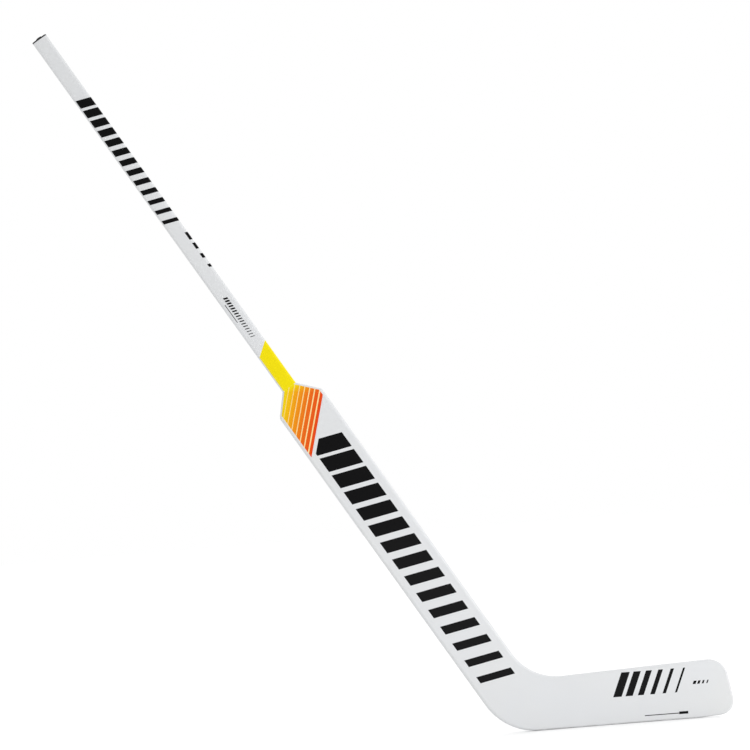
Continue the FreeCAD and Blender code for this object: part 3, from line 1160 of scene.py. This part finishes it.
@dataclass(frozen=True)
class EndPlug:
    """The plug in the butt end: flange, raised boss, and a hollow stem with ribs that grip the bore."""

    flange: float = 0.0022
    flange_round: float = 0.0009
    boss: float = 0.0105
    boss_height: float = 0.0019
    boss_round: float = 0.0014
    boss_rings: Pair = (0.0030, 0.0020)
    stem_gap: float = 0.0008
    stem_length: float = 0.042
    stem_lead: float = 0.0015
    stem_wall: float = 0.0022
    rib_gap: float = 0.0001
    rib_width: float = 0.0016
    rib_pitch: float = 0.008
    rib_count: int = 4
    least_corner: float = 0.0004
    least_flat: float = 0.00001
    corner_steps: int = 7
    round_steps: int = 5

    def _boss_row(self, level: float, inset: float) -> tuple[float, float, float, float]:
        """Section of the round boss at a height, moved in by an inset."""
        across = self.boss - 2 * inset
        return level, across, across, across / 2 - self.least_flat

    def _shaft_row(self, level: float, inset: float) -> tuple[float, float, float, float]:
        """Section of the shaft's own shape at a height, moved in by an inset."""
        corner = max(STICK.corner - inset, self.least_corner)
        return level, STICK.width - 2 * inset, STICK.depth - 2 * inset, corner

    def _rounded(self, radius: float) -> list[Pair]:
        """Drop and inset of points round an edge: radius times 1 less the sine and the cosine of the turn."""
        turns = np.linspace(0.5 * math.pi, 0.0, self.round_steps + 1)
        return list(zip(radius * (1.0 - np.sin(turns)), radius * (1.0 - np.cos(turns))))

    def _stem(self) -> list[Pair]:
        """Steps down the ribbed stem from the flange, round its tip and up the hollow.

        Returns:
            Pairs of height and inset.
        """
        stem = STICK.wall + self.stem_gap
        grip = STICK.wall + self.rib_gap
        hollow = stem + self.stem_wall
        steps = [(STICK.butt, stem)]
        for number in range(self.rib_count):
            rib_top = STICK.butt - self.rib_pitch * (number + 0.5)
            rib_low = rib_top - self.rib_width
            steps += [(rib_top, stem), (rib_top, grip), (rib_low, grip), (rib_low, stem)]
        tip = STICK.butt - self.stem_length
        steps += [(tip + self.stem_lead, stem), (tip, stem + self.stem_lead), (tip, hollow)]
        steps.append((STICK.butt - self.stem_wall, hollow))
        return steps

    def profile(self) -> Array:
        """Rows of height, width, depth and corner radius, from the top of the boss round to the hollow.

        Returns:
            One row for each section of the loft.
        """
        top = STICK.butt + self.flange
        crown = top + self.boss_height
        rows = [self._boss_row(crown, inset) for inset in self.boss_rings]
        rows += [self._boss_row(crown - drop, inset) for drop, inset in self._rounded(self.boss_round)]
        rows.append(self._boss_row(top, 0.0))
        rows += [self._shaft_row(top - drop, inset) for drop, inset in self._rounded(self.flange_round)]
        rows.append(self._shaft_row(STICK.butt, 0.0))
        rows += [self._shaft_row(level, inset) for level, inset in self._stem()]
        return np.array(rows)

    def build(self, plastic: Material) -> Piece:
        """Build the plug as a closed loft, with a flat face at each end of the row of sections.

        Args:
            plastic: Its finish.

        Returns:
            The plug.
        """
        heights, widths, depths, radii = self.profile().T
        points, numbers = lofted(heights, section(widths, depths, radii, self.corner_steps))
        faces = strip_faces(numbers).tolist()
        faces.append(numbers[0, :-1].tolist())
        faces.append(numbers[-1, :-1][::-1].tolist())
        plug = new_piece("butt_plug", points, faces, [plastic])
        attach(plug, PLUG_BODY)
        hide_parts("end_plug")
        return plug


@dataclass(frozen=True)
class InnerPieces:
    """The pieces inside the stick, which keep their CAD shape and take a finish by their material slot."""

    finishes: dict[str, Material]

    def dress(self, frame: dict[str, Any]) -> list[str]:
        """Give every CAD node that is still shown the finish of its slot.


        Returns:
            Names of the nodes.
        """
        dressed = []
        for row in frame["record"]["subparts"]:
            piece = frame["nodes"][row["node"]]
            if piece.hide_render:
                continue
            piece.data.materials.clear()
            piece.data.materials.append(self.finishes[row["material_slot"]])
            dressed.append(row["node"])
        return dressed


@dataclass(frozen=True)
class Studio:
    """White floor and surroundings, a soft lamp, and the camera at the photograph's place.

    The surroundings are brightest behind the stick. A step there is the middle and width of a rise along a
    direction, a light is what it adds, and a gloss is what reflections see.
    """

    aim: Place = (-0.3602, 0.0, 0.6099)
    field_width: float = 1.245
    lens: float = 200.0
    sensor: float = 36.0
    roll: float = math.radians(4.655)
    view_depth: float = 60.0
    floor_level: float = -0.0004
    floor_half: float = 9.0
    floor_cells: int = 12
    floor_dark: Colour = (0.86, 0.86, 0.86, 1.0)
    floor_light: Colour = (0.88, 0.88, 0.88, 1.0)
    floor_cloud: float = 0.6
    floor_shine: float = 0.24
    lamp_place: Place = (1.7, -2.2, 0.6)
    lamp_size: float = 1.4
    lamp_watts: float = 31.0
    behind_step: Pair = (0.15, 0.7)
    upward_step: Pair = (0.25, 1.1)
    sideward_step: Pair = (0.5, 0.7)
    front_light: float = 0.22
    upward_light: float = 0.43
    sideward_light: float = 0.41
    front_gloss: float = 0.05
    back_light: float = 1.2
    back_gloss: float = 1.0

    def add_camera(self) -> None:
        """Add the camera: it looks along +Y at the aim, turned so that the blade rises to the right."""
        data = bpy.data.cameras.new("photo_camera")
        data.lens = self.lens
        data.sensor_width = self.sensor
        data.clip_end = self.view_depth
        camera = bpy.data.objects.new("photo_camera", data)
        bpy.context.scene.collection.objects.link(camera)
        distance = self.field_width * self.lens / self.sensor
        camera.location = Vector(self.aim) - Vector((0.0, distance, 0.0))
        camera.rotation_euler = (0.5 * math.pi, self.roll, 0.0)
        bpy.context.scene.camera = camera

    def add_floor(self) -> None:
        """Add a pale floor that reads white to the camera and still takes the stick's shadow."""
        ticks = np.linspace(-self.floor_half, self.floor_half, self.floor_cells + 1)
        x, y = np.meshgrid(ticks, ticks)
        points = np.stack([x.ravel(), y.ravel(), np.full(x.size, self.floor_level)], axis=-1)
        numbers = np.arange(x.size).reshape(x.shape)
        material, graph = new_material("pale_floor")
        cloud = graph.noise(graph.spot(), self.floor_cloud)
        colour = graph.mixed(cloud, self.floor_dark, self.floor_light)
        matte = graph.node("ShaderNodeBsdfDiffuse", sockets={"Color": colour})
        seen = graph.rays("Camera", "Glossy", "Transmission")
        glow = graph.node("ShaderNodeEmission", sockets={"Strength": seen * self.floor_shine})
        graph.end(graph.node("ShaderNodeAddShader", sockets={0: matte.outputs[0], 1: glow.outputs[0]}))
        floor = new_piece("floor", points, strip_faces(numbers)[:, ::-1].tolist(), [material])

    def add_lamp(self) -> None:
        """Add the soft square lamp, which faces the aim."""
        data = bpy.data.lights.new("front_lamp", "AREA")
        data.size = self.lamp_size
        data.energy = self.lamp_watts
        lamp = bpy.data.objects.new("front_lamp", data)
        bpy.context.scene.collection.objects.link(lamp)
        place = Vector(self.lamp_place)
        lamp.location = place
        lamp.rotation_euler = (Vector(self.aim) - place).to_track_quat("-Z", "Y").to_euler()

    def add_surroundings(self) -> None:
        """Add the white surroundings, which light the object less than they show."""
        world = bpy.data.worlds.new("white_surroundings")
        world.use_nodes = True
        bpy.context.scene.world = world
        graph = Graph(world.node_tree)
        seen = graph.rays("Camera", "Transmission")
        glossy = graph.rays("Glossy")
        x, y, z = graph.parts(graph.node("ShaderNodeTexCoord").outputs["Generated"])
        upward = z.above(*self.upward_step) * self.upward_light
        sideward = x.size().above(*self.sideward_step) * self.sideward_light
        front = (1.0 - glossy) * (self.front_light + upward + sideward) + glossy * self.front_gloss
        back = self.back_light + glossy * (self.back_gloss - self.back_light)
        lit = front + y.above(*self.behind_step) * (back - front)
        strength = seen + (1.0 - seen) * lit
        ground = graph.node("ShaderNodeBackground", sockets={0: (1.0, 1.0, 1.0, 1.0), 1: strength})
        graph.node("ShaderNodeOutputWorld", sockets={0: ground.outputs[0]})

    def build(self) -> None:
        """Set up the whole stage."""
        bpy.context.scene.view_settings.view_transform = "Standard"
        self.add_camera()
        self.add_floor()
        self.add_lamp()
        self.add_surroundings()


def main() -> None:
    logging.basicConfig(level=logging.INFO, format="%(name)s: %(message)s")
    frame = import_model()

    paint = PrintedPaint().make()
    laminate = CarbonLaminate().make()
    shells = PaddleAndBlade()
    pieces = [shells.build(side, paint) for side in Side]
    pieces.append(Shaft().build(paint, laminate))
    pieces.append(EndPlug().build(MouldedPlastic().make()))
    for piece in pieces:
        LOG.info("%s: %d faces", piece.name, len(piece.data.polygons))

    inner = InnerPieces(
        {
            "carbon_laminate": laminate,
            "elastomer": Elastomer().make(),
            "dense_core": DenseFoam().make(),
            "foam_core": LightFoam().make(),
            "edge_rail": RailWood().make(),
        }
    )
    LOG.info("inner pieces dressed: %s", ", ".join(inner.dress(frame)))

    Studio().build()
    bpy.context.view_layer.update()


if __name__ == "__main__":
    main()
